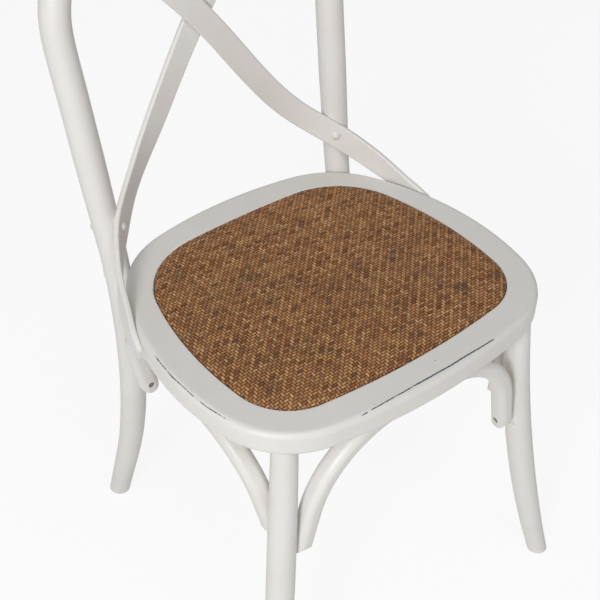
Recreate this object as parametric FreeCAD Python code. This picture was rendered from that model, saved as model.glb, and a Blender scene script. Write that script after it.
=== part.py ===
import FreeCAD, Part
import math
import os

from FreeCAD import Rotation, Vector

os.makedirs("parts", exist_ok=True)

# Cross back chair in millimetres. +Z is up, the sitter faces -Y and the sitter's left is +X.
# Plan places are measured from the middle of the seat, heights from the floor.

# Seat ring, bent in one piece
seat_height = 455.0
ring_thickness = 31.0
ring_front = 200.0
ring_back = 202.0
ring_half_width = 228.0
ring_side_centre = -33.0
ring_front_radius = 756.0
ring_front_corner = 106.0
ring_side_radius = 335.0
ring_back_corner = 123.0
ring_back_radius = 508.0
ring_edge_radius = 7.2

# Opening for the drop-in seat, and the ledge that carries it
rim_front = 39.5
rim_side = 38.5
rim_back = 41.2
opening_side_centre = -35.7
opening_front_radius = 960.0
opening_front_corner = 70.0
opening_side_radius = 436.0
opening_back_corner = 104.0
opening_back_radius = 1190.0
opening_edge_radius = 1.6
rabbet_depth = 18.0
ledge_width = 12.0

# Drop-in seat: board and woven cover
board_thickness = 9.0
board_gap = 1.2
cover_gap = 0.6
cover_lift = 0.3
cover_edge_inset = 3.6
cover_edge_rise = 2.7
cover_shoulder_inset = 16.0
cover_shoulder_rise = 5.6
cover_crown = 7.5
cover_crown_inset = 62.0

# Front legs, bent outwards along the diagonal of the seat
front_leg_x = 172.8
front_leg_y = -150.5
front_leg_slope = 0.072
front_leg_bend_radius = 1850.0
front_leg_top_radius = 14.6
front_leg_belly_radius = 16.6
front_leg_belly_height = 215.0
front_leg_foot_radius = 12.6
tenon_radius = 9.0
tenon_length = 21.0
tenon_clearance = 0.15

# Back hoop: legs, posts and top arch bent from one rod
post_x = 168.8
post_y = 179.8
post_rake = 10.4
post_flare = 2.9
back_leg_bend_radius = 630.0
back_leg_bend_drop = 26.0
back_leg_sweep = 19.0
hoop_top_height = 890.0
hoop_crown_radius = 262.0
hoop_shoulder_radius = 140.0
hoop_blend_radius = 900.0
hoop_foot_radius = 13.8
hoop_knee_radius = 16.6
hoop_knee_height = 220.0
hoop_seat_radius = 15.6
hoop_post_radius = 17.2
hoop_taper_rise = 150.0
joint_clearance = 0.1

# Crossed slats
slat_width = 30.5
slat_thickness = 6.8
slat_edge_radius = 2.2
slat_hold_height = 45.0
slat_hold_angle = 36.0
slat_seat_depth = 1.0
slat_end_width = 23.0
slat_end_y = 48.0
slat_end_drop = 26.5
slat_end_turn = 88.0
slat_end_lean = 6.0
slat_side_y = 93.0
slat_side_drop = 4.1
slat_stand_off = 5.8
slat_side_turn = 88.0
slat_side_lean = -3.0
slat_low_turn = 40.0
slat_waist_turn = 16.0
slat_cross_gap = 0.15
# Places in the raked plane of the posts: across, along and behind it
slat_low = (124.0, 81.0, 9.5)
slat_waist = (78.0, 136.0, 17.5)
slat_cross = (0.0, 246.0, 13.0)
slat_chest = (-72.0, 330.0, 10.2)
slat_top = (-121.0, 388.0, 0.0)

# Braces, four bent arches with an ear on each leg
front_brace_inset = 31.0
side_brace_inset = 29.0
back_brace_inset = 31.0
front_ear_drop = 197.0
side_ear_drop = 178.0
back_ear_drop = 185.0
ear_hold_rise = 30.0
front_ear_hold_rise = 8.0
front_brace_crown = 400.0
side_brace_crown = 260.0
back_brace_crown = 300.0
front_brace_bend = 120.0
side_brace_bend = 78.0
back_brace_bend = 100.0
front_ear_toe = 0.1
brace_across = 24.0
brace_in_plane = 23.0
brace_corner = 9.0
brace_seat_flat = 1.2
ear_flat_depth = 0.8
ear_flat_run_out = 13.0
ear_end_radius = 12.0
ear_screw_rise = 13.5

# Fasteners
screw_radius = 2.1
screw_head_radius = 3.9
screw_head_height = 2.6
screw_recess = 1.4
screw_clearance = 0.2
ear_screw_length = 41.0
seat_screw_length = 40.0
pad_screw_length = 19.0
pad_screw_x = 108.0
slat_end_screw_length = 24.0
slat_end_screw_inset = 10.0
cross_screw_length = 12.0
bolt_radius = 3.0
bolt_head_radius = 6.0
bolt_head_height = 3.2
bolt_head_sink = 0.5
cap_nut_height = 4.6
washer_radius = 9.0
washer_thickness = 1.5
hoop_bolt_grip = 22.0
glide_radius = 10.0
glide_height = 3.0
glide_rounding = 1.2
pin_radius = 1.6
pin_length = 17.0
pin_head_radius = 3.2
pin_head_height = 1.0

ring_bottom = seat_height - ring_thickness
board_bottom = seat_height - rabbet_depth
board_top = board_bottom + board_thickness
rake_slope = math.tan(math.radians(post_rake))
back_leg_bend_top = seat_height - back_leg_bend_drop
front_ear_bottom = seat_height - front_ear_drop
side_ear_bottom = seat_height - side_ear_drop
back_ear_bottom = seat_height - back_ear_drop


def crossing(centre_a, radius_a, centre_b, radius_b, toward):
    """Point where two circles cross, on the side that lies furthest along toward."""
    span = centre_b - centre_a
    reach = (radius_a ** 2 - radius_b ** 2 + span.Length ** 2) / (2 * span.Length)
    rise = math.sqrt(radius_a ** 2 - reach ** 2)
    along = Vector(span).normalize()
    across = Vector(-along.y, along.x, 0)
    foot = centre_a + along * reach
    choices = [foot + across * rise, foot - across * rise]
    return max(choices, key=lambda point: point.dot(toward))


def on_circle(centre, radius, through):
    """Point of a circle on the ray from its centre through another point."""
    return centre + Vector(through - centre).normalize() * radius


def arc(centre, radius, start, end):
    """Shorter arc between two points of a circle."""
    middle = on_circle(centre, radius, (start + end) * 0.5)
    return Part.Arc(start, middle, end).toShape()


def seat_outline(sizes, inset, height):
    """Closed outline of eight tangent arcs, mirrored about the middle of the seat."""
    front, back, half_width, side_y, radii = sizes
    front_r, front_c, side_r, back_c, back_r = [radius - inset for radius in radii]
    front, back, half_width = front - inset, back - inset, half_width - inset
    front_centre = Vector(0, front_r - front, 0)
    back_centre = Vector(0, back - back_r, 0)
    side_centre = Vector(half_width - side_r, side_y, 0)
    corner_f = crossing(front_centre, front_r - front_c, side_centre, side_r - front_c, Vector(1, -1, 0))
    corner_b = crossing(back_centre, back_r - back_c, side_centre, side_r - back_c, Vector(1, 1, 0))
    front_end = on_circle(front_centre, front_r, corner_f)
    side_low = on_circle(side_centre, side_r, corner_f)
    side_high = on_circle(side_centre, side_r, corner_b)
    back_end = on_circle(back_centre, back_r, corner_b)

    def flip(point):
        return Vector(-point.x, point.y, 0)

    right = [
        arc(corner_f, front_c, front_end, side_low),
        arc(side_centre, side_r, side_low, side_high),
        arc(corner_b, back_c, side_high, back_end),
    ]
    left = [
        arc(flip(corner_b), back_c, flip(back_end), flip(side_high)),
        arc(flip(side_centre), side_r, flip(side_high), flip(side_low)),
        arc(flip(corner_f), front_c, flip(side_low), flip(front_end)),
    ]
    top = arc(back_centre, back_r, back_end, flip(back_end))
    bottom = arc(front_centre, front_r, flip(front_end), front_end)
    wire = Part.Wire(right + [top] + left + [bottom])
    wire.translate(Vector(0, 0, height))
    return wire


ring_sizes = (
    ring_front,
    ring_back,
    ring_half_width,
    ring_side_centre,
    (ring_front_radius, ring_front_corner, ring_side_radius, ring_back_corner, ring_back_radius),
)
opening_sizes = (
    ring_front - rim_front,
    ring_back - rim_back,
    ring_half_width - rim_side,
    opening_side_centre,
    (
        opening_front_radius,
        opening_front_corner,
        opening_side_radius,
        opening_back_corner,
        opening_back_radius,
    ),
)


def plate(sizes, inset, bottom, height):
    """Flat solid inside a seat outline."""
    return Part.Face(seat_outline(sizes, inset, bottom)).extrude(Vector(0, 0, height))


def cylinder(start, direction, radius, length):
    return Part.makeCylinder(radius, length, start, direction)


def screw(start, direction, length, clearance=0.0):
    """Countersunk screw with its head flush at start; clearance makes the hole for it."""
    shank = cylinder(start, direction, screw_radius + clearance, length + clearance)
    head_radius = screw_head_radius + clearance
    head = Part.makeCone(head_radius, screw_radius + clearance, screw_head_height, start, direction)
    body = head.fuse(shank)
    if clearance > 0:
        body = body.fuse(cylinder(start - direction * screw_recess * 2, direction, head_radius, screw_recess * 2))
    return body.removeSplitter()


def ring_blank(grow=0.0):
    """Ring before its opening is cut; grow leaves room for what is fitted against it."""
    blank = plate(ring_sizes, -grow, ring_bottom - grow, ring_thickness + 2 * grow)
    rims = [edge for edge in blank.Edges if edge.BoundBox.ZLength < 0.01]
    return blank.makeFillet(ring_edge_radius, rims)


def make_ring():
    ring = ring_blank()
    opening = plate(opening_sizes, 0, board_bottom, rabbet_depth + 1)
    ring = ring.cut(opening).cut(plate(opening_sizes, ledge_width, ring_bottom - 1, ring_thickness))
    lip = [
        edge
        for edge in ring.Edges
        if edge.BoundBox.ZLength < 0.01
        and abs(edge.BoundBox.ZMax - seat_height) < 0.01
        and edge.BoundBox.DiagonalLength > 1
        and edge.distToShape(Part.Face(seat_outline(opening_sizes, 0, seat_height)))[0] < 0.01
    ]
    return ring.makeFillet(opening_edge_radius, lip).Solids[0]


def make_board():
    return plate(opening_sizes, board_gap, board_bottom, board_thickness)


def make_cover():
    """Woven cover: straight sides, a rolled shoulder and a low crown."""
    levels = [
        (cover_gap, board_top + cover_lift),
        (cover_gap, seat_height),
        (cover_gap + cover_edge_inset, seat_height + cover_edge_rise),
        (cover_gap + cover_shoulder_inset, seat_height + cover_shoulder_rise),
        (cover_crown_inset, seat_height + cover_crown),
    ]
    return Part.makeLoft([seat_outline(opening_sizes, inset, z) for inset, z in levels], True, True)


def circle_wire(centre, direction, radius):
    return Part.Wire(Part.makeCircle(radius, centre, direction))


def front_leg_axis(height):
    """Place and direction of the left front leg's axis at a height."""
    drop = ring_bottom - height
    shift = (front_leg_slope * drop + drop ** 2 / (2 * front_leg_bend_radius)) / math.sqrt(2)
    slope = (front_leg_slope + drop / front_leg_bend_radius) / math.sqrt(2)
    place = Vector(front_leg_x + shift, front_leg_y - shift, height)
    return place, Vector(-slope, slope, 1).normalize()


def front_leg_radius(height):
    """Slender at the ring, fullest at the belly, slim at the foot."""
    if height > front_leg_belly_height:
        part = (height - front_leg_belly_height) / (ring_bottom - front_leg_belly_height)
        end = front_leg_top_radius
    else:
        part = (front_leg_belly_height - height) / front_leg_belly_height
        end = front_leg_foot_radius
    return front_leg_belly_radius + (end - front_leg_belly_radius) * part ** 2


def make_front_leg():
    spare = front_leg_foot_radius * 2
    steps = 8
    heights = [(ring_bottom + 2 * spare) * step / steps - spare for step in range(steps + 1)]
    rings = []
    for height in heights:
        place, direction = front_leg_axis(height)
        rings.append(circle_wire(place, direction, front_leg_radius(min(max(height, 0), ring_bottom))))
    leg = Part.makeLoft(rings, True, False)
    reach = ring_half_width * 2
    slab = Part.makeBox(reach, reach, ring_bottom - glide_height, Vector(0, -reach, glide_height))
    leg = leg.common(slab)
    tenon = cylinder(Vector(front_leg_x, front_leg_y, ring_bottom), Vector(0, 0, 1), tenon_radius, tenon_length)
    return leg.fuse(tenon)


def arch_corner(line_start, line_slope, corner, crown, crown_centre):
    """Corner arc of an arch, inside the line x = line_start + line_slope * z and the crown's circle.

    The crown's circle has its centre at (0, crown_centre). Returns the arc's start on the line,
    its middle and its end on the crown.
    """
    stretch = math.sqrt(1 + line_slope ** 2)
    inner = line_start - corner * stretch
    half_b = line_slope * inner - crown_centre
    c = inner ** 2 + crown_centre ** 2 - (crown - corner) ** 2
    centre_z = (-half_b + math.sqrt(half_b ** 2 - stretch ** 2 * c)) / stretch ** 2
    centre_x = inner + line_slope * centre_z
    first = -math.atan(line_slope)
    last = math.atan2(centre_z - crown_centre, centre_x)

    def on_corner(angle):
        return centre_x + corner * math.cos(angle), centre_z + corner * math.sin(angle)

    return on_corner(first), on_corner((first + last) / 2), on_corner(last)


def tilt_back(across, along, depth=0.0):
    """Point of the raked plane of the posts: across it, along it and square to it."""
    lean = math.radians(post_rake)
    return Vector(
        across,
        post_y + along * math.sin(lean) - depth * math.cos(lean),
        seat_height + along * math.cos(lean) + depth * math.sin(lean),
    )


def make_hoop_path():
    """Half of the rod's centre line, from the foot to the top of the hoop."""
    lean = math.radians(post_rake)
    flare = math.radians(post_flare)
    sweep = math.radians(back_leg_sweep)
    # Leg: straight tail, bend in the vertical plane through the post
    bend_top = Vector(post_x, post_y + (back_leg_bend_top - seat_height) * math.tan(lean), back_leg_bend_top)
    bend_centre = bend_top + Vector(0, math.cos(lean), -math.sin(lean)) * back_leg_bend_radius
    bend_low = bend_centre + Vector(0, -math.cos(sweep), -math.sin(sweep)) * back_leg_bend_radius
    knee = bend_centre - Vector(0, back_leg_bend_radius, 0)
    tail_run = (bend_low.z + hoop_foot_radius) / math.cos(sweep)
    tail_end = bend_low + Vector(0, math.sin(sweep), -math.cos(sweep)) * tail_run
    # Hoop: in the raked plane, with u across and s along the posts
    blend = hoop_blend_radius * math.tan(flare / 2)
    blend_low = tilt_back(post_x, -blend)
    blend_high = tilt_back(post_x + blend * math.sin(flare), blend * math.cos(flare))
    blend_bow = hoop_blend_radius * (1 - math.cos(flare / 2))
    blend_mid = (blend_low + blend_high) * 0.5 - Vector(blend_bow, 0, 0)
    top = (hoop_top_height - seat_height - hoop_post_radius) / math.cos(lean)
    crown_s = top - hoop_crown_radius
    start, mid, end = arch_corner(post_x, math.tan(flare), hoop_shoulder_radius, hoop_crown_radius, crown_s)
    edges = [
        Part.makeLine(tail_end, bend_low),
        Part.Arc(bend_low, knee, bend_top).toShape(),
        Part.makeLine(bend_top, blend_low),
        Part.Arc(blend_low, blend_mid, blend_high).toShape(),
        Part.makeLine(blend_high, tilt_back(*start)),
        Part.Arc(tilt_back(*start), tilt_back(*mid), tilt_back(*end)).toShape(),
    ]
    crown = Part.Arc(tilt_back(*end), tilt_back(0, top), tilt_back(-end[0], end[1])).toShape()
    return edges, crown


def hoop_radius(place):
    """Radius of the rod at a place: slim at the foot, full above the seat."""
    if place.z < ring_bottom:
        if place.z > hoop_knee_height:
            part = (place.z - hoop_knee_height) / (ring_bottom - hoop_knee_height)
            return hoop_knee_radius + (hoop_seat_radius - hoop_knee_radius) * part
        return hoop_foot_radius + (hoop_knee_radius - hoop_foot_radius) * max(place.z, 0) / hoop_knee_height
    part = min((place.z - ring_bottom) / hoop_taper_rise, 1.0)
    return hoop_seat_radius + (hoop_post_radius - hoop_seat_radius) * part


def make_hoop():
    edges, crown = make_hoop_path()
    counts = [3, 7, 2, 2, 5, 8]
    stations = []
    for edge, count in zip(edges, counts):
        for step in range(count):
            where = edge.FirstParameter + (edge.LastParameter - edge.FirstParameter) * step / count
            stations.append((edge.valueAt(where), edge.tangentAt(where)))
    for step in range(7):
        where = crown.FirstParameter + (crown.LastParameter - crown.FirstParameter) * step / 6
        stations.append((crown.valueAt(where), crown.tangentAt(where)))
    half = len(stations) - 7
    for place, direction in reversed(stations[:half]):
        mirrored = Vector(-place.x, place.y, place.z)
        stations.append((mirrored, Vector(direction.x, -direction.y, -direction.z)))
    rings = [circle_wire(place, direction, hoop_radius(place)) for place, direction in stations]
    hoop = Part.makeLoft(rings, True, False)
    reach = ring_half_width * 2
    slab = Part.makeBox(reach * 2, reach * 2, hoop_top_height, Vector(-reach, -reach, glide_height))
    return hoop.common(slab)


def back_leg_axis(height):
    """Place and slope of the left back leg's axis, along its bend below the seat."""
    lean = math.radians(post_rake)
    centre_y = post_y + (back_leg_bend_top - seat_height) * rake_slope + back_leg_bend_radius * math.cos(lean)
    centre_z = back_leg_bend_top - back_leg_bend_radius * math.sin(lean)
    sweep = math.radians(back_leg_sweep)
    low_z = centre_z - back_leg_bend_radius * math.sin(sweep)
    if height < low_z:
        low_y = centre_y - back_leg_bend_radius * math.cos(sweep)
        return Vector(post_x, low_y + (low_z - height) * math.tan(sweep), height), -math.tan(sweep)
    if height > back_leg_bend_top:
        return Vector(post_x, post_y + (height - seat_height) * rake_slope, height), rake_slope
    rise = height - centre_z
    run = math.sqrt(back_leg_bend_radius ** 2 - rise ** 2)
    return Vector(post_x, centre_y - run, height), rise / run


def flip_x(shape):
    return shape.mirror(Vector(0, 0, 0), Vector(1, 0, 0))


def rounded_section(width, height, corner):
    """Rectangle with rounded corners in the XY plane, about the origin."""
    w = width / 2 - corner
    h = height / 2 - corner
    bow = corner * (1 - math.sqrt(0.5))
    edges = []
    for x, y in ((1, 1), (-1, 1), (-1, -1), (1, -1)):
        side = Vector(x * (w + corner), y * h, 0)
        cap = Vector(x * w, y * (h + corner), 0)
        middle = Vector(x * (w + corner - bow), y * (h + corner - bow), 0)
        if x * y > 0:
            edges.append(Part.Arc(side, middle, cap).toShape())
        else:
            edges.append(Part.Arc(cap, middle, side).toShape())
    joined = []
    for index, edge in enumerate(edges):
        joined.append(edge)
        after = edges[(index + 1) % 4]
        joined.append(Part.makeLine(edge.valueAt(edge.LastParameter), after.valueAt(after.FirstParameter)))
    return Part.Wire(joined)


def placed(shape, origin, x_axis, z_axis):
    """Copy of a shape moved from the origin, with its X and Z axes turned to the ones given."""
    moved = shape.copy()
    y_axis = z_axis.cross(x_axis)
    place = FreeCAD.Placement(origin, Rotation(x_axis, y_axis, z_axis, "ZXY"))
    moved.Placement = place.multiply(shape.Placement)
    return moved


def dome(start, direction, radius, height):
    """Low domed head that stands on start and rises along direction."""
    sphere = (radius ** 2 + height ** 2) / (2 * height)
    ball = Part.makeSphere(sphere, start - direction * (sphere - height))
    return ball.common(cylinder(start, direction, radius, height + 1))


class Brace:
    """Arch in its own plane: X along it, Z up it, with its centre line's top at the origin."""

    def __init__(self, top, ears, slopes, crown, bend, bottom):
        self.crown = crown
        self.bend = bend
        self.top = top
        left, right = ears
        self.x_axis = Vector(right - left).normalize()
        rise = top - (left + right) * 0.5
        rise = rise - self.x_axis * rise.dot(self.x_axis)
        self.z_axis = Vector(rise).normalize()
        self.depth = rise.Length
        self.half_span = (right - left).Length / 2
        self.slopes = slopes
        self.bottom = bottom
        self.ends = []
        for side, slope in zip((-1, 1), slopes):
            z = -(top.z - bottom) / self.z_axis.z
            x = self.half_span + (-self.depth - z) * slope
            lean = math.atan(slope)
            run = Vector(side * math.sin(lean), 0, -math.cos(lean))
            out = Vector(side * math.cos(lean), 0, math.sin(lean))
            self.ends.append((Vector(side * x, 0, z), run, out))

    def place(self, shape):
        return placed(shape, self.top, self.x_axis, self.z_axis)

    def point(self, local):
        y_axis = self.z_axis.cross(self.x_axis)
        return self.top + self.x_axis * local.x + y_axis * local.y + self.z_axis * local.z

    def turn(self, local):
        return self.point(local) - self.top

    def half_path(self, side):
        slope = self.slopes[(side + 1) // 2]
        line_start = self.half_span - self.depth * slope
        start, middle, end = arch_corner(line_start, -slope, self.bend, self.crown, -self.crown)
        points = [Vector(side * x, 0, z) for x, z in (start, middle, end)]
        foot = self.ends[(side + 1) // 2][0]
        return foot, points

    def solid(self):
        left_foot, left = self.half_path(-1)
        right_foot, right = self.half_path(1)
        path = Part.Wire([
            Part.makeLine(left_foot, left[0]),
            Part.Arc(left[0], left[1], left[2]).toShape(),
            Part.Arc(left[2], Vector(0, 0, 0), right[2]).toShape(),
            Part.Arc(right[2], right[1], right[0]).toShape(),
            Part.makeLine(right[0], right_foot),
        ])
        section = rounded_section(brace_in_plane, brace_across, brace_corner)
        start_run = self.ends[0][1] * -1
        section = placed(section, left_foot, self.ends[0][2], start_run)
        arch = path.makePipeShell([section], True, False)
        for foot, run, out in self.ends:
            arch = arch.cut(self.end_rounding(foot, run, out))
        arch = self.place(arch)
        reach = ring_half_width * 2
        above = Part.makeBox(reach * 2, reach * 2, ring_thickness, Vector(-reach, -reach, ring_bottom))
        return arch.cut(above).Solids[0]

    def end_rounding(self, foot, run, out):
        """What lies outside the half round end of an ear."""
        centre = foot - run * ear_end_radius
        reach = brace_across
        block = Part.makeBox(reach * 2, reach * 2, reach, Vector(-reach, -reach, 0))
        block = placed(block, centre, out, run)
        return block.cut(cylinder(centre - out * reach, out, ear_end_radius, reach * 2))

    def ear_seat(self, index):
        """Block on the ear's side of the flat where the ear meets its leg."""
        foot, run, out = self.ends[index]
        straight = (foot - self.half_path(index * 2 - 1)[1][0]).Length
        wide = brace_across * 1.5
        corner = Vector(brace_in_plane / 2 - wide + joint_clearance, -wide, -straight - ear_flat_run_out)
        block = Part.makeBox(wide, wide * 2, straight + 2 * ear_flat_run_out, corner)
        return self.place(placed(block, foot, out, run))

    def ear_screw(self, index):
        """Start and direction of the screw through an ear into its leg."""
        foot, run, out = self.ends[index]
        start = foot - run * ear_screw_rise - out * (brace_in_plane / 2 - screw_recess)
        return self.point(start), self.turn(out), ear_screw_length

    def seat_screw(self):
        """Start and direction of the screw through the arch's top into the ring."""
        start = Vector(0, 0, screw_recess - brace_in_plane / 2)
        return self.point(start), self.z_axis, seat_screw_length


def ear_place(axis_place, radius, toward):
    """Centre of an ear's section beside a leg, on the side that faces toward."""
    return axis_place + toward * (radius - ear_flat_depth + brace_in_plane / 2)


def make_braces():
    """The four arches, keyed by the side of the chair that they stand on."""
    top_z = ring_bottom - brace_in_plane / 2 + brace_seat_flat
    braces = {}

    def front_leg_at(height):
        place, direction = front_leg_axis(height)
        return place, front_leg_radius(place.z), -direction.x / direction.z

    def back_leg_at(height):
        place, slope = back_leg_axis(height)
        return place, hoop_radius(place), slope

    place, radius, slope = front_leg_at(front_ear_bottom + front_ear_hold_rise)
    right = ear_place(place, radius, Vector(-1, 0, 0))
    left = Vector(-right.x, right.y, right.z)
    top = Vector(0, -(ring_front - front_brace_inset), top_z)
    slopes = (slope + front_ear_toe, slope + front_ear_toe)
    braces["front"] = Brace(top, (left, right), slopes, front_brace_crown, front_brace_bend, front_ear_bottom)

    place, radius, slope = back_leg_at(back_ear_bottom + ear_hold_rise)
    right = ear_place(place, radius, Vector(-1, 0, 0))
    left = Vector(-right.x, right.y, right.z)
    top = Vector(0, ring_back - back_brace_inset, top_z)
    braces["back"] = Brace(top, (left, right), (0.0, 0.0), back_brace_crown, back_brace_bend, back_ear_bottom)

    place, radius, slope = front_leg_at(side_ear_bottom + ear_hold_rise)
    front = ear_place(place, radius, Vector(0, 1, 0))
    place, radius, rear_slope = back_leg_at(side_ear_bottom + ear_hold_rise)
    rear = ear_place(place, radius, Vector(0, -1, 0))
    top = Vector(ring_half_width - side_brace_inset, (front.y + rear.y) / 2, top_z)
    slopes = (slope, -rear_slope)
    braces["side"] = Brace(top, (front, rear), slopes, side_brace_crown, side_brace_bend, side_ear_bottom)
    return braces


def ring_side_x(y):
    """Outer face of the ring beside the seat."""
    return ring_half_width - ring_side_radius + math.sqrt(ring_side_radius ** 2 - (y - ring_side_centre) ** 2)


def hold_point():
    """Where the left slat's lower half crosses in front of the left post."""
    flare = math.tan(math.radians(post_flare))
    height = seat_height + slat_hold_height
    along = slat_hold_height / math.cos(math.radians(post_rake))
    axis = tilt_back(post_x + along * flare, along)
    axis.z = height
    angle = math.radians(slat_hold_angle)
    facing = Vector(-math.sin(angle), -math.cos(angle), 0)
    upward = (tilt_back(flare, 1) - tilt_back(0, 0)).normalize()
    facing = Vector(facing - upward * facing.dot(upward)).normalize()
    return axis, facing, hoop_radius(axis)


def slat_places(lap):
    """Places along the slat, each with the turn and the lean of its face."""
    axis, facing, radius = hold_point()
    hold = axis + facing * (radius + slat_thickness / 2 - slat_seat_depth)
    hold_turn = math.degrees(math.atan2(-facing.x, -facing.y))
    hold_lean = math.degrees(math.asin(facing.z))
    end_x = ring_side_x(slat_end_y) + slat_thickness / 2
    side = Vector(ring_side_x(slat_side_y) + slat_stand_off, slat_side_y, seat_height - slat_side_drop)
    across, along, behind = slat_cross
    return [
        (Vector(end_x, slat_end_y, seat_height - slat_end_drop), slat_end_turn, slat_end_lean),
        (side, slat_side_turn, slat_side_lean),
        (hold, hold_turn, hold_lean),
        (tilt_back(slat_low[0], slat_low[1], -slat_low[2]), slat_low_turn, post_rake),
        (tilt_back(slat_waist[0], slat_waist[1], -slat_waist[2] + lap / 2), slat_waist_turn, post_rake),
        (tilt_back(across, along, -behind + lap), 0.0, post_rake),
        (tilt_back(slat_chest[0], slat_chest[1], -slat_chest[2] + lap / 2), 0.0, post_rake),
        (tilt_back(slat_top[0], slat_top[1], -slat_top[2]), 0.0, post_rake),
    ]


def face_of(turn, lean):
    """Normal of a slat's face from its turn about the vertical and its lean, in degrees."""
    turn = math.radians(turn)
    lean = math.radians(lean)
    return Vector(-math.sin(turn) * math.cos(lean), -math.cos(turn) * math.cos(lean), math.sin(lean))


def make_slat(lap, grow=0.0):
    """Slat from the ring's left side to the hoop's right shoulder; lap moves it at the crossing."""
    places = slat_places(lap)
    line = Part.BSplineCurve()
    line.interpolate([place for place, turn, lean in places])
    knots = [line.parameter(place) for place, turn, lean in places]
    sections = []
    for index in range(len(places) - 1):
        steps = 3 if index < 2 else 2
        last = index == len(places) - 2
        for step in range(steps + last):
            part = step / steps
            where = knots[index] + (knots[index + 1] - knots[index]) * part
            turn = places[index][1] + (places[index + 1][1] - places[index][1]) * part
            lean = places[index][2] + (places[index + 1][2] - places[index][2]) * part
            width = slat_width
            if index == 0:
                width = slat_end_width + (slat_width - slat_end_width) * math.sin(part * math.pi / 2)
            run = Vector(line.tangent(where)[0]).normalize()
            face = face_of(turn, lean)
            face = Vector(face - run * face.dot(run)).normalize()
            thickness = slat_thickness + 2 * grow
            section = rounded_section(thickness, width + 2 * grow, slat_edge_radius)
            sections.append(placed(section, line.value(where), face, run))
    return Part.makeLoft(sections, True, False)


def slat_end_screw(lap):
    """Start, direction and length of the screw through a slat's lower end into the ring."""
    places = slat_places(lap)
    end, turn, lean = places[0]
    run = Vector(places[1][0] - end).normalize()
    face = face_of(turn, lean)
    start = end + run * slat_end_screw_inset - face * (slat_thickness / 2 - screw_recess / 2)
    return start, face, slat_end_screw_length


def slat_post_bolt():
    """Bolt through the slat and its post, the nut behind it, and the room that both need."""
    axis, facing, radius = hold_point()
    inward = facing * -1
    front = axis + facing * (radius + slat_thickness - slat_seat_depth - bolt_head_sink)
    flat = math.sqrt(radius ** 2 - bolt_head_radius ** 2)
    rear = axis + inward * flat
    length = (rear - front).Length
    shank = cylinder(front, inward, bolt_radius, length + cap_nut_height / 2)
    bolt = dome(front, facing, bolt_head_radius, bolt_head_height).fuse(shank)
    nut = dome(rear, inward, bolt_head_radius, cap_nut_height)
    socket = cylinder(front, inward, bolt_radius + joint_clearance, length + cap_nut_height / 2 + joint_clearance)
    nut = nut.cut(socket)
    seat_radius = bolt_head_radius + screw_clearance
    room = socket.fuse(cylinder(front, facing, seat_radius, slat_thickness))
    room = room.fuse(cylinder(rear, inward, seat_radius, radius))
    return bolt.removeSplitter(), nut, room


def hoop_bolt():
    """Bolt through the left post into the ring's corner, its washer, and the room that both need."""
    height = ring_bottom + ring_thickness / 2
    axis = Vector(post_x, post_y + (height - seat_height) * rake_slope, height)
    inward = Vector(-post_x, -post_y, 0).normalize()
    outward = inward * -1
    flat = math.sqrt(hoop_seat_radius ** 2 - washer_radius ** 2)
    seat = axis + outward * flat
    tip = flat + hoop_seat_radius + hoop_bolt_grip
    bolt = dome(seat + outward * washer_thickness, outward, bolt_head_radius, bolt_head_height)
    bolt = bolt.fuse(cylinder(seat + outward * washer_thickness, inward, bolt_radius, tip + washer_thickness))
    hole = cylinder(seat + outward * washer_thickness * 2, inward, bolt_radius + joint_clearance,
                    tip + washer_thickness * 2 + joint_clearance)
    washer = cylinder(seat, outward, washer_radius, washer_thickness).cut(hole)
    room = hole.fuse(cylinder(seat, outward, washer_radius + screw_clearance, hoop_seat_radius))
    return bolt.removeSplitter(), washer, room


def pad_screw_starts():
    """Places on the ring's underside below the ledge, clear of the braces."""
    inset = ledge_width / 2
    front_y = opening_sizes[0] - opening_front_radius
    back_y = opening_sizes[1] - opening_back_radius
    front = front_y + math.sqrt((opening_front_radius - inset) ** 2 - pad_screw_x ** 2)
    back = back_y + math.sqrt((opening_back_radius - inset) ** 2 - pad_screw_x ** 2)
    return [
        Vector(side * pad_screw_x, y, ring_bottom)
        for side in (-1, 1)
        for y in (-front, back)
    ]


def glide(place):
    """Foot glide: a flat button that a nail holds to the leg's end."""
    foot = Vector(place.x, place.y, 0)
    up = Vector(0, 0, 1)
    button = cylinder(foot, up, glide_radius, glide_height)
    button = button.makeFillet(glide_rounding, [edge for edge in button.Edges if edge.BoundBox.ZMax < 0.01])
    nail = nail_at(foot, 0.0)
    return button.cut(nail_at(foot, joint_clearance)), nail


def nail_at(foot, clearance):
    up = Vector(0, 0, 1)
    head = cylinder(foot + up * (pin_head_height - clearance), up, pin_head_radius + clearance,
                    pin_head_height + clearance)
    if clearance > 0:
        head = cylinder(foot, up, pin_head_radius + clearance, 2 * pin_head_height + clearance)
    shank = cylinder(foot + up * pin_head_height, up, pin_radius + clearance, pin_length + clearance)
    return head.fuse(shank).removeSplitter()


def group(shapes):
    return Part.makeCompound(shapes)


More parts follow.
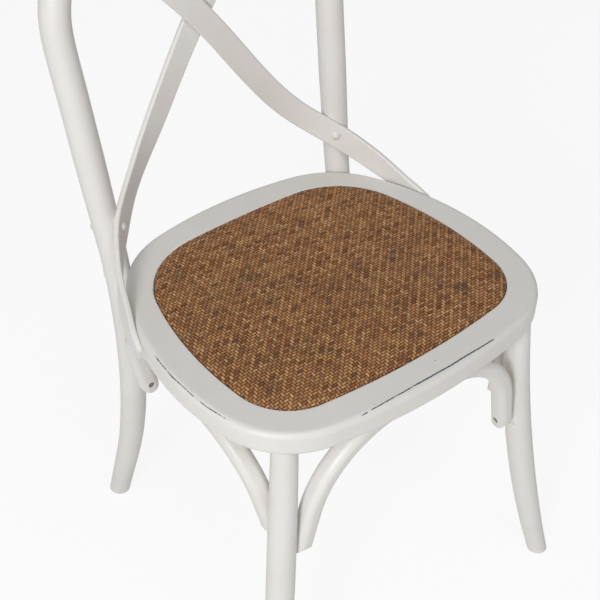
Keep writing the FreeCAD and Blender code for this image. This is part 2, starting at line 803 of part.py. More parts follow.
def make_chair():
    """Every piece of the chair by name, in plan about the middle of the seat."""
    braces = make_braces()
    arches = {name: brace.solid() for name, brace in braces.items()}
    lap = (slat_thickness + slat_cross_gap) / 2
    crossed = make_slat(lap, joint_clearance)
    left_slat = make_slat(lap)
    right_slat = flip_x(make_slat(-lap))
    room = ring_blank(joint_clearance)

    # Screws: ears into legs, arches into the ring, slat ends into the ring
    ear_starts = [braces[name].ear_screw(index) for name in ("front", "back", "side") for index in (0, 1)]
    ear_screws = [screw(*place) for place in ear_starts]
    ear_holes = [screw(*place, screw_clearance) for place in ear_starts]
    seat_starts = [braces[name].seat_screw() for name in ("front", "back", "side")]
    seat_screws = [screw(*place) for place in seat_starts]
    seat_holes = [screw(*place, screw_clearance) for place in seat_starts]
    # The side arch is mirrored to the right, with its screws
    ear_screws += [flip_x(item) for item in ear_screws[4:]]
    ear_holes += [flip_x(item) for item in ear_holes[4:]]
    seat_screws.append(flip_x(seat_screws[2]))
    seat_holes.append(flip_x(seat_holes[2]))
    end_screws = [screw(*slat_end_screw(lap)), flip_x(screw(*slat_end_screw(-lap)))]
    end_holes = [
        screw(*slat_end_screw(lap), screw_clearance),
        flip_x(screw(*slat_end_screw(-lap), screw_clearance)),
    ]
    across, along, behind = slat_cross
    rear_face = tilt_back(across, along, -behind - lap - slat_thickness / 2 + screw_recess / 2)
    forward = (tilt_back(0, 0, 1) - tilt_back(0, 0, 0)).normalize()
    cross_screw = screw(rear_face, forward, cross_screw_length)
    cross_hole = screw(rear_face, forward, cross_screw_length, screw_clearance)
    up = Vector(0, 0, 1)
    pad_starts = pad_screw_starts()
    pad_screws = [screw(start, up, pad_screw_length) for start in pad_starts]
    pad_holes = [screw(start, up, pad_screw_length, screw_clearance) for start in pad_starts]

    # Bolts
    post_bolt, post_nut, post_room = slat_post_bolt()
    bolt, washer, bolt_room = hoop_bolt()

    # Seat
    tenon_hole = cylinder(
        Vector(front_leg_x, front_leg_y, ring_bottom - 1),
        up,
        tenon_radius + tenon_clearance,
        tenon_length + 1 + tenon_clearance,
    )
    ring = make_ring().cut([tenon_hole, flip_x(tenon_hole), bolt_room, flip_x(bolt_room)])
    ring = ring.cut(seat_holes + end_holes + pad_holes)
    board = make_board().cut(pad_holes)

    # Legs and hoop
    glides = []
    nails = []
    nail_holes = []
    front_foot = front_leg_axis(glide_height)[0]
    back_foot = back_leg_axis(glide_height)[0]
    for foot in (front_foot, back_foot):
        for side in (-1, 1):
            place = Vector(side * foot.x, foot.y, 0)
            button, nail = glide(place)
            glides.append(button)
            nails.append(nail)
            nail_holes.append(nail_at(place, joint_clearance))
    leg = make_front_leg().cut([braces["front"].ear_seat(1), braces["side"].ear_seat(0)])
    leg = leg.cut(ear_holes + nail_holes)
    hoop_cuts = [braces["back"].ear_seat(0), braces["back"].ear_seat(1)]
    rear_seat = braces["side"].ear_seat(1)
    hoop_cuts += [rear_seat, flip_x(rear_seat), room]
    hoop_cuts += [crossed, flip_x(make_slat(-lap, joint_clearance))]
    hoop_cuts += [bolt_room, flip_x(bolt_room), post_room, flip_x(post_room)]
    hoop = make_hoop().cut(hoop_cuts).cut(ear_holes + nail_holes)

    left_slat = left_slat.cut([room, post_room, cross_hole] + end_holes)
    right_slat = right_slat.cut([room, flip_x(post_room), cross_hole, crossed] + end_holes)
    side_arch = arches["side"].cut(ear_holes + seat_holes)
    return {
        "back_hoop": hoop,
        "front_leg_left": leg,
        "front_leg_right": flip_x(leg),
        "seat_ring": ring,
        "seat_board": board,
        "rattan_cover": make_cover(),
        "slat_left": left_slat,
        "slat_right": right_slat,
        "front_brace": arches["front"].cut(ear_holes + seat_holes),
        "back_brace": arches["back"].cut(ear_holes + seat_holes),
        "left_brace": side_arch,
        "right_brace": flip_x(side_arch),
        "ear_screws": group(ear_screws),
        "brace_seat_screws": group(seat_screws),
        "slat_end_screws": group(end_screws),
        "cross_screw": cross_screw,
        "slat_post_bolts": group([post_bolt, flip_x(post_bolt)]),
        "slat_post_nuts": group([post_nut, flip_x(post_nut)]),
        "hoop_bolts": group([bolt, flip_x(bolt)]),
        "hoop_washers": group([washer, flip_x(washer)]),
        "pad_screws": group(pad_screws),
        "foot_glides": group(glides),
        "glide_pins": group(nails),
    }


def solids_of(shape):
    """The shape with one solid by itself, or with each of its solids in one group."""
    solids = shape.Solids
    if len(solids) == 1:
        return solids[0]
    return Part.makeCompound(solids)


def export_chair():
    """Write every piece, with the origin on the floor below the middle of the whole chair."""
    pieces = {name: solids_of(shape) for name, shape in make_chair().items()}
    whole = Part.makeCompound([pieces[name] for name in ("back_hoop", "front_leg_left", "seat_ring")])
    bounds = whole.optimalBoundingBox(True, False)
    middle = (bounds.YMin + bounds.YMax) / 2
    for name, piece in pieces.items():
        piece.translate(Vector(0, -middle, 0))
        piece.exportStep("parts/" + name + ".step")


export_chair()
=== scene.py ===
import math

import bmesh
import bpy
import numpy as np
from mathutils import Matrix, Vector


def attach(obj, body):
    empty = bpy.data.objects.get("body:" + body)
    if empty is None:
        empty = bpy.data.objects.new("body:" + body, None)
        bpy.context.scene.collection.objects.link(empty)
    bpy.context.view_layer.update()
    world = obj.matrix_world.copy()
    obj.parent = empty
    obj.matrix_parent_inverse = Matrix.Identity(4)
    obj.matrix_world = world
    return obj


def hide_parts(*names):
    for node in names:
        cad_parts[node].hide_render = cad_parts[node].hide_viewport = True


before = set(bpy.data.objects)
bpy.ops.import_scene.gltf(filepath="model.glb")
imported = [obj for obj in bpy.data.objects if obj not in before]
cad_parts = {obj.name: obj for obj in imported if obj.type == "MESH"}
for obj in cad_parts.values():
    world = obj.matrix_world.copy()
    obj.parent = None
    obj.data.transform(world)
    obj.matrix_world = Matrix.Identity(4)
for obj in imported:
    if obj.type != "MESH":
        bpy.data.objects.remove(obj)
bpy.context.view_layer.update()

# The seat's middle lies behind the chair's origin by this much, in metres
SEAT_Y = -0.0272
SEAT_TOP = 0.455

# Outline of the ring's opening: front, back, half width, middle of the sides, and the arcs' radii
OPENING = (0.1605, 0.1608, 0.1895, -0.0357, (0.960, 0.070, 0.436, 0.104, 1.190))
COVER_GAP = 0.0006
ARC_POINTS = 90

# Weave of the seat: a twill of flat strands, over two and under two
STRAND = 0.00335
TWILL_CYCLE = 4.0
STEPS_PER_STRAND = 4
WAVE = 0.00058
WAVE_FLATNESS = 1.35
STRAND_CROWN = 0.00072
STRAND_JITTER = 0.00007
JITTER_SIZE = 512
JITTER_SHIFT = 200

# Form of the seat: the swell of its top, and how far its sides reach into the ring
CROWN = 0.0070
CROWN_REACH = 0.0125
CROWN_POWER = 0.78
SIDE_DROP = 0.0078
SIDE_FADE = 0.002
GRID_REACH = (OPENING[2] + 0.025, 0.190)

# Colours of the paint and of the dark ground below it
PAINT = (0.775, 0.755, 0.715)
PAINT_LIGHT = (0.800, 0.790, 0.762)
PAINT_WARM = (0.740, 0.700, 0.640)
UNDERCOAT = (0.060, 0.085, 0.110)

# Rubbed line along the ring's front arris, measured from the seat's middle
FRONT_LINE_Y = -0.1911
FRONT_LINE_BOW = 0.16
FRONT_LINE_MIDDLE = 0.012
FRONT_LINE_WIDTH = (0.00105, 0.00062)
FRONT_LINE_ENDS = (-0.103, 0.087)
FRONT_LINE_BREAK = (-0.0955, -0.0905)

# Rubbed line along the right side's arc
SIDE_LINE_CENTRE = (0.107, -0.033, 0.0)
SIDE_LINE_RADIUS = 0.3321
SIDE_LINE_WIDTH = 0.00062
SIDE_LINE_ENDS = (-0.108, 0.014)

# Pin prick in the paint of the front rim, and how far below the ring's top any of the wear shows
PRICK_PLACE = (0.0124, -0.1753, 0.0)
PRICK_RADIUS = 0.0007
WEAR_DEPTH = 0.006

# Colours of the strands, from the darkest to the palest, and of the shade between them
STRAND_COLOURS = [
    (0.08, (0.190, 0.072, 0.026)),
    (0.32, (0.370, 0.148, 0.052)),
    (0.55, (0.545, 0.248, 0.096)),
    (0.74, (0.640, 0.320, 0.125)),
    (0.90, (0.760, 0.440, 0.200)),
]
FIBRE_COLOUR = (0.11, 0.05, 0.025)
STAIN_COLOUR = (0.085, 0.040, 0.030)
CLOUD_COLOUR = (0.16, 0.10, 0.055)
# Painted sheen: the strands that run along the seat are painted paler, as if they caught more of the
# light
PAINTED_SHEEN_COLOUR = (0.90, 0.56, 0.28)
GAP_COLOUR = (0.028, 0.012, 0.006)

# Camera: picture width and focal length in pixels, place and axes
PICTURE_WIDTH = 600
FOCAL_LENGTH = 1240.8
FILM_WIDTH = 36.0
CAMERA_PLACE = (-0.7155, -0.8400 + SEAT_Y, 0.9135 + SEAT_TOP)
CAMERA_RIGHT = (0.78457, -0.61985, 0.01514)
CAMERA_UP = (0.39312, 0.51617, 0.76094)
CAMERA_BACK = (-0.47948, -0.59106, 0.64865)

# Lamps, all aimed at one point: name, place, size, power and colour
LAMP_TARGET = (0.0, 0.0, 0.4)
LAMPS = [
    ("key", (-2.5, -1.6, 2.05), 0.9, 58.0, (1.0, 1.0, 1.0)),
    ("fill", (-0.4, -1.6, 3.0), 1.4, 18.0, (1.0, 0.995, 0.985)),
]
WORLD_STRENGTH = 0.25
FLOOR_RADIUS = 12.0
FLOOR_GLOW = 0.90


def add_object(name, data):
    made = bpy.data.objects.new(name, data)
    bpy.context.scene.collection.objects.link(made)
    return made


def smooth(obj):
    obj.data.polygons.foreach_set("use_smooth", [True] * len(obj.data.polygons))


class Material:
    """A node material, with short calls for the nodes that it is made of."""

    def __init__(self, name):
        self.material = bpy.data.materials.new(name)
        self.material.use_nodes = True
        self.tree = self.material.node_tree
        self.shader = self.tree.nodes["Principled BSDF"]

    def node(self, kind, **values):
        made = self.tree.nodes.new(kind)
        for key, value in values.items():
            setattr(made, key, value)
        return made

    def link(self, socket, value):
        """Feed a socket from another node's output, or set it to a number or a colour."""
        if hasattr(value, "is_output"):
            self.tree.links.new(value, socket)
        else:
            socket.default_value = value

    def math(self, operation, a, b=0.0, c=0.0):
        made = self.node("ShaderNodeMath", operation=operation)
        for socket, value in zip(made.inputs, (a, b, c)):
            self.link(socket, value)
        return made.outputs[0]

    def add(self, a, b):
        return self.math("ADD", a, b)

    def sub(self, a, b):
        return self.math("SUBTRACT", a, b)

    def mul(self, a, b):
        return self.math("MULTIPLY", a, b)

    def size(self, a):
        return self.math("ABSOLUTE", a)

    def band(self, value, low, high, soft):
        """1 where value lies between low and high, with soft edges."""
        rise = self.ramp(value, low - soft, low + soft)
        fall = self.ramp(value, high + soft, high - soft)
        return self.mul(rise, fall)

    def ramp(self, value, start, end, low=0.0, high=1.0):
        """Value mapped from start..end to low..high, clamped."""
        made = self.node("ShaderNodeMapRange")
        self.link(made.inputs["Value"], value)
        for name, number in (("From Min", start), ("From Max", end), ("To Min", low), ("To Max", high)):
            made.inputs[name].default_value = number
        return made.outputs["Result"]

    def split(self, vector):
        made = self.node("ShaderNodeSeparateXYZ")
        self.link(made.inputs[0], vector)
        return made.outputs[0], made.outputs[1], made.outputs[2]

    def join(self, x, y, z):
        made = self.node("ShaderNodeCombineXYZ")
        for socket, value in zip(made.inputs, (x, y, z)):
            self.link(socket, value)
        return made.outputs[0]

    def place(self):
        return self.node("ShaderNodeTexCoord").outputs["Object"]

    def distance(self, vector, point):
        made = self.node("ShaderNodeVectorMath", operation="DISTANCE")
        self.link(made.inputs[0], vector)
        self.link(made.inputs[1], point)
        return made.outputs["Value"]

    def noise(self, scale, detail=2.0, rough=0.5, vector=None, stretch=None):
        made = self.node("ShaderNodeTexNoise")
        made.inputs["Scale"].default_value = scale
        made.inputs["Detail"].default_value = detail
        made.inputs["Roughness"].default_value = rough
        vector = self.place() if vector is None else vector
        if stretch:
            mapping = self.node("ShaderNodeMapping")
            self.link(mapping.inputs["Vector"], vector)
            mapping.inputs["Scale"].default_value = stretch
            vector = mapping.outputs[0]
        self.link(made.inputs["Vector"], vector)
        return made.outputs["Fac"]

    def white(self, vector):
        made = self.node("ShaderNodeTexWhiteNoise", noise_dimensions="3D")
        self.link(made.inputs["Vector"], vector)
        return made.outputs["Value"]

    def mix(self, factor, a, b):
        """Colour a where factor is 0, colour b where it is 1."""
        made = self.node("ShaderNodeMix", data_type="RGBA", blend_type="MIX")
        self.link(made.inputs["Factor"], factor)
        self.link(made.inputs["A"], (*a, 1.0) if isinstance(a, tuple) else a)
        self.link(made.inputs["B"], (*b, 1.0) if isinstance(b, tuple) else b)
        return made.outputs["Result"]

    def choose(self, factor, a, b):
        """Number a where factor is 0, number b where it is 1."""
        made = self.node("ShaderNodeMix", data_type="FLOAT")
        self.link(made.inputs["Factor"], factor)
        self.link(made.inputs["A"], a)
        self.link(made.inputs["B"], b)
        return made.outputs["Result"]

    def colours(self, factor, stops):
        made = self.node("ShaderNodeValToRGB")
        self.link(made.inputs["Fac"], factor)
        elements = made.color_ramp.elements
        while len(elements) < len(stops):
            elements.new(0.5)
        for element, (position, colour) in zip(elements, stops):
            element.position = position
            element.color = (*colour, 1.0)
        return made.outputs["Color"]

    def bump(self, height, distance, strength, normal=None):
        made = self.node("ShaderNodeBump")
        made.inputs["Strength"].default_value = strength
        made.inputs["Distance"].default_value = distance
        self.link(made.inputs["Height"], height)
        if normal is not None:
            self.link(made.inputs["Normal"], normal)
        return made.outputs["Normal"]

    def set(self, **values):
        """Feed the shader's own inputs and hand back the finished material."""
        for name, value in values.items():
            self.link(self.shader.inputs[name.replace("_", " ")], value)
        return self.material


def paint_base(m):
    """Warm white paint with soft clouds, thin warm rubbed places and a faint brushed grain."""
    clouds = m.noise(5.5, 3.0, 0.55)
    fine = m.noise(60.0, 4.0, 0.6)
    colour = m.mix(m.ramp(clouds, 0.38, 0.66), PAINT, PAINT_LIGHT)
    warm = m.mul(m.ramp(m.noise(14.0, 4.0, 0.6), 0.56, 0.74), 0.55)
    colour = m.mix(warm, colour, PAINT_WARM)
    return m.mix(m.ramp(fine, 0.3, 0.7, 0.0, 0.12), colour, PAINT_WARM)


def paint_bump(m):
    brushed = m.noise(220.0, 3.0, 0.6)
    swell = m.noise(34.0, 2.0, 0.5)
    first = m.bump(swell, 0.0007, 0.35)
    return m.bump(brushed, 0.00022, 0.4, first)


def make_paint(name, worn):
    """Painted wood; worn gives the mask of the places where the dark ground shows."""
    m = Material(name)
    colour = paint_base(m)
    rough = m.ramp(m.noise(40.0, 3.0), 0.3, 0.7, 0.36, 0.5)
    mask = worn(m)
    return m.set(
        Base_Color=m.mix(mask, colour, UNDERCOAT),
        Roughness=m.choose(mask, rough, 0.7),
        Normal=paint_bump(m),
    )


def drift(m, scale, reach):
    """Wander of a rubbed line to either side."""
    return m.mul(m.sub(m.noise(scale, 1.0), 0.5), reach)


def ring_wear(m):
    """Rubbed lines on the top arris: along the front and at the right side, as dashes."""
    x, y, z = m.split(m.place())
    y = m.sub(y, SEAT_Y)
    rag = m.noise(420.0, 2.0)
    patch = m.noise(70.0, 3.0)
    # Front line, nearly straight
    off = m.sub(m.sub(y, FRONT_LINE_Y), m.mul(m.mul(x, x), FRONT_LINE_BOW))
    off = m.add(off, drift(m, 36.0, 0.0016))
    wide = m.mul(m.ramp(rag, 0.25, 0.75, 0.55, 1.3), m.ramp(patch, 0.36, 0.44, 0.35, 1.0))
    wide = m.mul(wide, m.ramp(m.size(m.sub(x, FRONT_LINE_MIDDLE)), 0.03, 0.095, *FRONT_LINE_WIDTH))
    front = m.math("LESS_THAN", m.size(off), wide)
    unbroken = m.sub(1.0, m.band(x, *FRONT_LINE_BREAK, 0.0008))
    front = m.mul(m.mul(front, unbroken), m.band(x, *FRONT_LINE_ENDS, 0.002))
    # Side line, along the side's arc
    flat = m.join(x, y, 0.0)
    off = m.sub(m.distance(flat, SIDE_LINE_CENTRE), SIDE_LINE_RADIUS)
    off = m.add(off, drift(m, 50.0, 0.0012))
    wide = m.mul(m.ramp(rag, 0.25, 0.75, 0.2, 1.2), m.ramp(m.noise(90.0, 3.0), 0.42, 0.5, 0.15, 1.0))
    side = m.math("LESS_THAN", m.size(off), m.mul(wide, SIDE_LINE_WIDTH))
    side = m.mul(side, m.band(y, *SIDE_LINE_ENDS, 0.002))
    side = m.mul(side, m.math("LESS_THAN", x, 0.0))
    pit = m.math("LESS_THAN", m.distance(flat, PRICK_PLACE), PRICK_RADIUS)
    mask = m.math("MAXIMUM", m.math("MAXIMUM", front, side), pit)
    return m.mul(mask, m.math("GREATER_THAN", z, SEAT_TOP - WEAR_DEPTH))


def edge_wear(m):
    """Small scuffs scattered over the rod, the slats and the arches."""
    specks = m.noise(95.0, 2.0, 0.6, stretch=(1.0, 1.0, 0.35))
    gate = m.noise(9.0, 2.0)
    return m.mul(m.ramp(specks, 0.765, 0.79), m.mul(m.ramp(gate, 0.56, 0.62), 0.8))


def make_steel():
    m = Material("screw_steel")
    stain = m.noise(300.0, 3.0, 0.6)
    return m.set(
        Base_Color=m.mix(m.ramp(stain, 0.35, 0.7), (0.20, 0.20, 0.21), (0.12, 0.12, 0.126)),
        Metallic=0.85,
        Roughness=m.ramp(stain, 0.3, 0.7, 0.37, 0.57),
        Normal=m.bump(m.noise(900.0, 2.0), 0.00008, 0.4),
    )


def make_plywood():
    m = Material("plywood_bare")
    grain = m.noise(3.0, 5.0, 0.62, stretch=(2.0, 34.0, 2.0))
    pores = m.noise(30.0, 3.0, 0.6, stretch=(2.0, 40.0, 2.0))
    colour = m.colours(grain, [
        (0.3, (0.42, 0.28, 0.15)),
        (0.5, (0.56, 0.41, 0.25)),
        (0.7, (0.63, 0.48, 0.31)),
    ])
    colour = m.mix(m.ramp(pores, 0.6, 0.75, 0.0, 0.4), colour, (0.30, 0.19, 0.10))
    return m.set(Base_Color=colour, Roughness=0.72, Normal=m.bump(pores, 0.0002, 0.4))


def make_glide():
    m = Material("glide_nylon")
    fine = m.noise(600.0, 2.0)
    colour = m.mix(m.ramp(m.noise(80.0, 3.0), 0.4, 0.7, 0.0, 0.5), (0.74, 0.73, 0.70), (0.60, 0.58, 0.54))
    return m.set(Base_Color=colour, Roughness=0.5, Normal=m.bump(fine, 0.0001, 0.3))


def make_rattan():
    """Twill of varnished strands. The UV map counts strands: u across the seat, v along it."""
    m = Material("rattan_twill")
    uv = m.node("ShaderNodeUVMap", uv_map="weave").outputs[0]
    a, b = m.split(uv)[:2]
    column, row = m.math("FLOOR", a), m.math("FLOOR", b)
    across = m.math("LESS_THAN", m.math("FLOORED_MODULO", m.sub(column, row), TWILL_CYCLE), 1.5)
    # Each direction has its own run along the strand, strand number, place across it and seeds
    directions = (
        (m.sub(a, row), row, m.sub(b, row), 1.5, 3.5),
        (m.add(m.sub(b, column), 3.0), column, m.sub(a, column), 7.5, 5.5),
    )
    looks = []
    for run, number, beside, float_seed, strand_seed in directions:
        float_number = m.math("FLOOR", m.math("DIVIDE", run, TWILL_CYCLE))
        looks.append((
            m.white(m.join(number, float_number, float_seed)),
            m.white(m.join(number, 0.5, strand_seed)),
            m.size(m.sub(beside, 0.5)),
            m.size(m.sub(m.math("FLOORED_MODULO", run, TWILL_CYCLE), 1.0)),
        ))
    tone, strand, side, end = [m.choose(across, along_y, along_x) for along_x, along_y in zip(*looks)]
    colour = m.colours(m.add(m.mul(tone, 0.62), m.mul(strand, 0.38)), STRAND_COLOURS)
    # Fibres along each strand, dark stains, a painted sheen on the strands that run along the seat, and
    # painted shade in the gaps
    fibre_x = m.noise(1.0, 3.0, 0.6, m.join(m.mul(a, 0.5), m.mul(b, 7.0), 0.0))
    fibre_y = m.noise(1.0, 3.0, 0.6, m.join(m.mul(a, 7.0), m.mul(b, 0.5), 4.0))
    fibre = m.choose(across, fibre_y, fibre_x)
    stain = m.noise(0.11, 4.0, 0.62, uv)
    cloud = m.noise(0.045, 3.0, 0.55, uv)
    gap = m.math("MAXIMUM", m.ramp(m.mul(side, 2.0), 0.52, 0.95), m.ramp(end, 0.60, 0.98))
    colour = m.mix(m.ramp(fibre, 0.35, 0.65, 0.0, 0.35), colour, FIBRE_COLOUR)
    colour = m.mix(m.ramp(stain, 0.55, 0.72, 0.0, 0.75), colour, STAIN_COLOUR)
    colour = m.mix(m.ramp(cloud, 0.45, 0.65, 0.0, 0.22), colour, CLOUD_COLOUR)
    # Painted sheen: strands along the seat are made paler, standing in for the light that falls on them
    colour = m.mix(m.mul(m.sub(1.0, across), 0.13), colour, PAINTED_SHEEN_COLOUR)
    colour = m.mix(m.mul(gap, 0.93), colour, GAP_COLOUR)
    return m.set(
        Base_Color=colour,
        Roughness=m.add(m.ramp(fibre, 0.3, 0.7, 0.40, 0.56), m.mul(gap, 0.3)),
        Specular_IOR_Level=0.22,
        Normal=m.bump(fibre, 0.00012, 0.6),
    )


def crossing(centre_a, radius_a, centre_b, radius_b, toward):
    """Point where two circles cross, on the side that lies furthest along toward."""
    span = centre_b - centre_a
    length = np.linalg.norm(span)
    reach = (radius_a ** 2 - radius_b ** 2 + length ** 2) / (2 * length)
    rise = math.sqrt(radius_a ** 2 - reach ** 2)
    along = span / length
    foot = centre_a + along * reach
    side = np.array([-along[1], along[0]]) * rise
    return max((foot + side, foot - side), key=lambda point: point @ toward)


def heading(start, end):
    return math.atan2(end[1] - start[1], end[0] - start[0])


def outline(inset):
    """Points and outward normals of the opening's outline, counted along its eight arcs."""
    front, back, half, side_y, radii = OPENING
    front_r, front_c, side_r, back_c, back_r = [radius - inset for radius in radii]
    front, back, half = front - inset, back - inset, half - inset
    front_centre = np.array([0.0, front_r - front])
    back_centre = np.array([0.0, back - back_r])
    side_centre = np.array([half - side_r, side_y])
    corner_f = crossing(front_centre, front_r - front_c, side_centre, side_r - front_c, np.array([1, -1]))
    corner_b = crossing(back_centre, back_r - back_c, side_centre, side_r - back_c, np.array([1, 1]))
    front_turn = heading(front_centre, corner_f)
    low_turn = heading(side_centre, corner_f)
    high_turn = heading(side_centre, corner_b)
    back_turn = heading(back_centre, corner_b)
    left_half = [
        (front_centre, front_r, -math.pi / 2, front_turn),
        (corner_f, front_c, front_turn, low_turn),
        (side_centre, side_r, low_turn, high_turn),
        (corner_b, back_c, high_turn, back_turn),
        (back_centre, back_r, back_turn, math.pi / 2),
    ]
    points, normals = [], []
    for centre, radius, first, last in left_half:
        for angle in np.linspace(first, last, ARC_POINTS, endpoint=False):
            normal = np.array([math.cos(angle), math.sin(angle)])
            points.append(centre + normal * radius)
            normals.append(normal)
    points, normals = np.array(points), np.array(normals)
    mirror = np.array([-1.0, 1.0])
    return np.vstack([points, points[:0:-1] * mirror]), np.vstack([normals, normals[:0:-1] * mirror])


def nearest(grid, points, normals, batch=4000):
    """Inset of each grid point from the outline, with its foot and normal there."""
    inset = np.empty(len(grid))
    foot = np.empty((len(grid), 2))
    out = np.empty((len(grid), 2))
    for start in range(0, len(grid), batch):
        rows = slice(start, start + batch)
        part = grid[rows]
        away = ((part[:, None, :] - points[None, :, :]) ** 2).sum(2)
        index = away.argmin(1)
        normal = normals[index]
        height = ((part - points[index]) * normal).sum(1)
        inset[rows] = -height
        foot[rows] = part - normal * height[:, None]
        out[rows] = normal
    return inset, foot, out


def rolled_profile():
    """Tables from the length over the cover's surface, counted inwards from its edge."""
    inset = np.concatenate([np.linspace(0, 0.004, 400), np.linspace(0.00401, 0.2, 2000)])
    rise = CROWN * (1 - np.exp(-(inset / CROWN_REACH) ** CROWN_POWER))
    length = np.concatenate([[0], np.cumsum(np.hypot(np.diff(inset), np.diff(rise)))])
    return length, inset, rise


def grid_line(cells):
    """Places on one axis of the grid, with the seat's middle between two strands."""
    middle = cells // (2 * STEPS_PER_STRAND) * STEPS_PER_STRAND
    return (np.arange(cells + 1) - middle) * (STRAND / STEPS_PER_STRAND)


def twill_height(a, b):
    """Height of the upper strand, with a and b counted in strands across and along the seat."""
    column, row = np.floor(a + 1e-6), np.floor(b + 1e-6)
    jitter = np.random.default_rng(7).normal(0, 1, (JITTER_SIZE, JITTER_SIZE))

    def lift(strand, number):
        strand = (strand.astype(int) + JITTER_SHIFT) % JITTER_SIZE
        number = (number.astype(int) + JITTER_SHIFT) % JITTER_SIZE
        return jitter[strand, number] * STRAND_JITTER

    def strand_height(along, beside, strand):
        wave = np.clip(np.cos(2 * math.pi * (along - 1) / TWILL_CYCLE) * WAVE_FLATNESS, -1, 1)
        crown = STRAND_CROWN * (2 * (beside - 0.5)) ** 2
        return WAVE * wave - crown + lift(strand, np.floor(along / TWILL_CYCLE))

    over_x = strand_height(a - row, b - row, row)
    over_y = strand_height(b - column + 3, a - column, column + 250)
    return np.maximum(over_x, over_y) - WAVE


def close_below(mesh):
    form = bmesh.new()
    form.from_mesh(mesh)
    rim = [edge for edge in form.edges if edge.is_boundary]
    bmesh.ops.edgeloop_fill(form, edges=rim)
    bmesh.ops.recalc_face_normals(form, faces=form.faces)
    form.to_mesh(mesh)
    form.free()


def make_pad():
    """Drop-in seat: twill relief on a crowned form whose edges roll down into the ring."""
    length, inset_table, rise_table = rolled_profile()
    cells_x, cells_y = [int(reach * 2 / (STRAND / STEPS_PER_STRAND)) for reach in GRID_REACH]
    grid = np.stack(np.meshgrid(grid_line(cells_x), grid_line(cells_y)), 2).reshape(-1, 2)
    inset, foot, out = nearest(grid, *outline(COVER_GAP))
    # Length over the surface from the cover's edge; below zero it runs down the straight side
    over = inset + length[-1] - inset_table[-1]
    low = -SIDE_DROP
    keep = (over > low).reshape(cells_y + 1, cells_x + 1)
    touched = keep[:-1, :-1] | keep[1:, :-1] | keep[:-1, 1:] | keep[1:, 1:]
    over = np.maximum(over, low)
    plan_inset = np.interp(over, length, inset_table, left=0.0)
    rise = np.where(over > 0, np.interp(over, length, rise_table), over)
    climb = np.where(over > 0, np.interp(over, length, np.gradient(rise_table, length)), 1.0)
    run = np.sqrt(np.maximum(1 - climb ** 2, 0))
    counts = grid / STRAND
    height = twill_height(counts[:, 0], counts[:, 1]) * np.clip((over - low) / SIDE_FADE, 0, 1)
    plan = foot - out * (plan_inset - height * climb)[:, None]
    verts = np.column_stack([plan[:, 0], plan[:, 1] + SEAT_Y, SEAT_TOP + rise + height * run])
    # Quads over the touched cells, with only the vertices that they use
    row_i, column_i = np.nonzero(touched)
    first = row_i * (cells_x + 1) + column_i
    quads = np.column_stack([first, first + 1, first + cells_x + 2, first + cells_x + 1])
    used, quads = np.unique(quads, return_inverse=True)
    mesh = bpy.data.meshes.new("woven_seat")
    mesh.from_pydata(verts[used].tolist(), [], quads.reshape(-1, 4).tolist())
    layer = mesh.uv_layers.new(name="weave")
    corners = np.empty(len(mesh.loops), int)
    mesh.loops.foreach_get("vertex_index", corners)
    layer.data.foreach_set("uv", counts[used][corners].astype(np.float32).ravel())
    close_below(mesh)
    pad = add_object("woven_seat", mesh)
    smooth(pad)
    mesh.materials.append(make_rattan())
    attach(pad, "root")
    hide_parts("rattan_cover")


def dress_frame():
    """Give every node of the frame its finish; what isn't named here is painted."""
    rod_paint = make_paint("paint_rod", edge_wear)
    finishes = {
        "seat_ring": make_paint("paint_ring", ring_wear),
        "seat_board": make_plywood(),
        "foot_glides": make_glide(),
    }
    steel = make_steel()
    for name in ("cross_screw", "ear_screws", "brace_seat_screws", "pad_screws", "glide_pins"):
        finishes[name] = steel
    for name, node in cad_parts.items():
        node.data.materials.clear()
        node.data.materials.append(finishes.get(name, rod_paint))


def add_camera():
    data = bpy.data.cameras.new("camera")
    data.sensor_width = FILM_WIDTH
    data.lens = FOCAL_LENGTH / PICTURE_WIDTH * FILM_WIDTH
    data.shift_y = -1 / PICTURE_WIDTH
    data.clip_end = 60.0
    camera = add_object("camera", data)
    axes = [Vector(axis) for axis in (CAMERA_RIGHT, CAMERA_UP, CAMERA_BACK)]
    turn = Matrix(axes).transposed().to_4x4()
    camera.matrix_world = Matrix.Translation(CAMERA_PLACE) @ turn
    bpy.context.scene.camera = camera


def add_lamp(name, place, size, power, colour):
    data = bpy.data.lights.new(name, "AREA")
    data.shape = "DISK"
    data.size = size
    data.energy = power
    data.color = colour
    way = Vector(LAMP_TARGET) - Vector(place)
    turn = way.to_track_quat("-Z", "Y").to_matrix().to_4x4()
    add_object(name, data).matrix_world = Matrix.Translation(place) @ turn


def seen_mask(tree):
    """1 for the rays that should meet a white background."""
    path = tree.nodes.new("ShaderNodeLightPath")
    total = path.outputs["Is Camera Ray"]
    for name in ("Is Glossy Ray", "Is Transmission Ray"):
        made = tree.nodes.new("ShaderNodeMath")
        made.operation = "MAXIMUM"
        tree.links.new(total, made.inputs[0])
        tree.links.new(path.outputs[name], made.inputs[1])
        total = made.outputs[0]
    return total


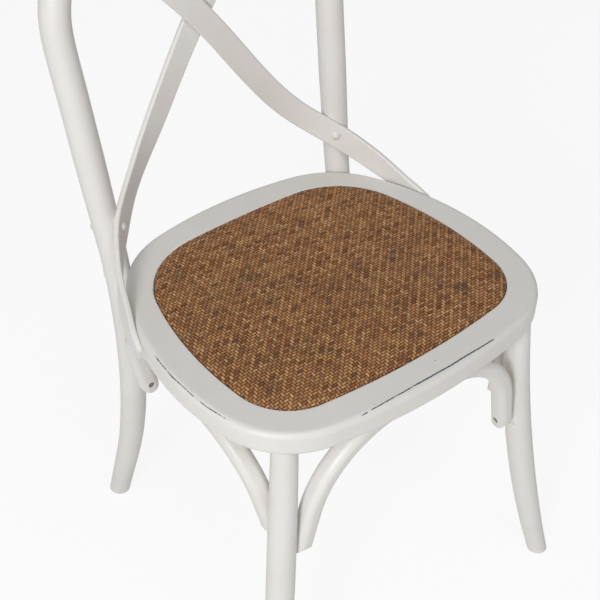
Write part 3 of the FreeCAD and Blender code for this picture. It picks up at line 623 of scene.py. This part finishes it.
def mix_shaders(tree, factor, first, second, target):
    """Lead the mix of two shaders to a target input."""
    mixed = tree.nodes.new("ShaderNodeMixShader")
    for socket, output in zip(mixed.inputs, (factor, first, second)):
        tree.links.new(output, socket)
    tree.links.new(mixed.outputs[0], target)


def add_world():
    world = bpy.data.worlds.new("studio")
    world.use_nodes = True
    bpy.context.scene.world = world
    tree = world.node_tree
    background = tree.nodes["Background"]
    background.inputs["Color"].default_value = (0.97, 0.985, 1.0, 1.0)
    background.inputs["Strength"].default_value = WORLD_STRENGTH
    white = tree.nodes.new("ShaderNodeBackground")
    white.inputs["Color"].default_value = (1.0, 1.0, 1.0, 1.0)
    white.inputs["Strength"].default_value = 1.0
    surface = tree.nodes["World Output"].inputs["Surface"]
    mix_shaders(tree, seen_mask(tree), background.outputs[0], white.outputs[0], surface)


def add_floor():
    """Round pale floor that shows almost white and keeps the chair's shadow."""
    form = bmesh.new()
    bmesh.ops.create_circle(form, cap_ends=True, segments=96, radius=FLOOR_RADIUS)
    mesh = bpy.data.meshes.new("floor")
    form.to_mesh(mesh)
    form.free()
    material = bpy.data.materials.new("floor_pale")
    material.use_nodes = True
    tree = material.node_tree
    shader = tree.nodes["Principled BSDF"]
    shader.inputs["Base Color"].default_value = (0.86, 0.86, 0.86, 1.0)
    shader.inputs["Roughness"].default_value = 0.9
    glow = tree.nodes.new("ShaderNodeEmission")
    glow.inputs["Color"].default_value = (1.0, 1.0, 1.0, 1.0)
    glow.inputs["Strength"].default_value = 1.0
    share = tree.nodes.new("ShaderNodeMath")
    share.operation = "MULTIPLY"
    share.inputs[1].default_value = FLOOR_GLOW
    tree.links.new(seen_mask(tree), share.inputs[0])
    surface = tree.nodes["Material Output"].inputs["Surface"]
    mix_shaders(tree, share.outputs[0], shader.outputs[0], glow.outputs[0], surface)
    mesh.materials.append(material)
    add_object("floor", mesh)


add_camera()
make_pad()
dress_frame()
add_world()
for lamp in LAMPS:
    add_lamp(*lamp)
add_floor()
bpy.context.scene.view_settings.view_transform = "Standard"
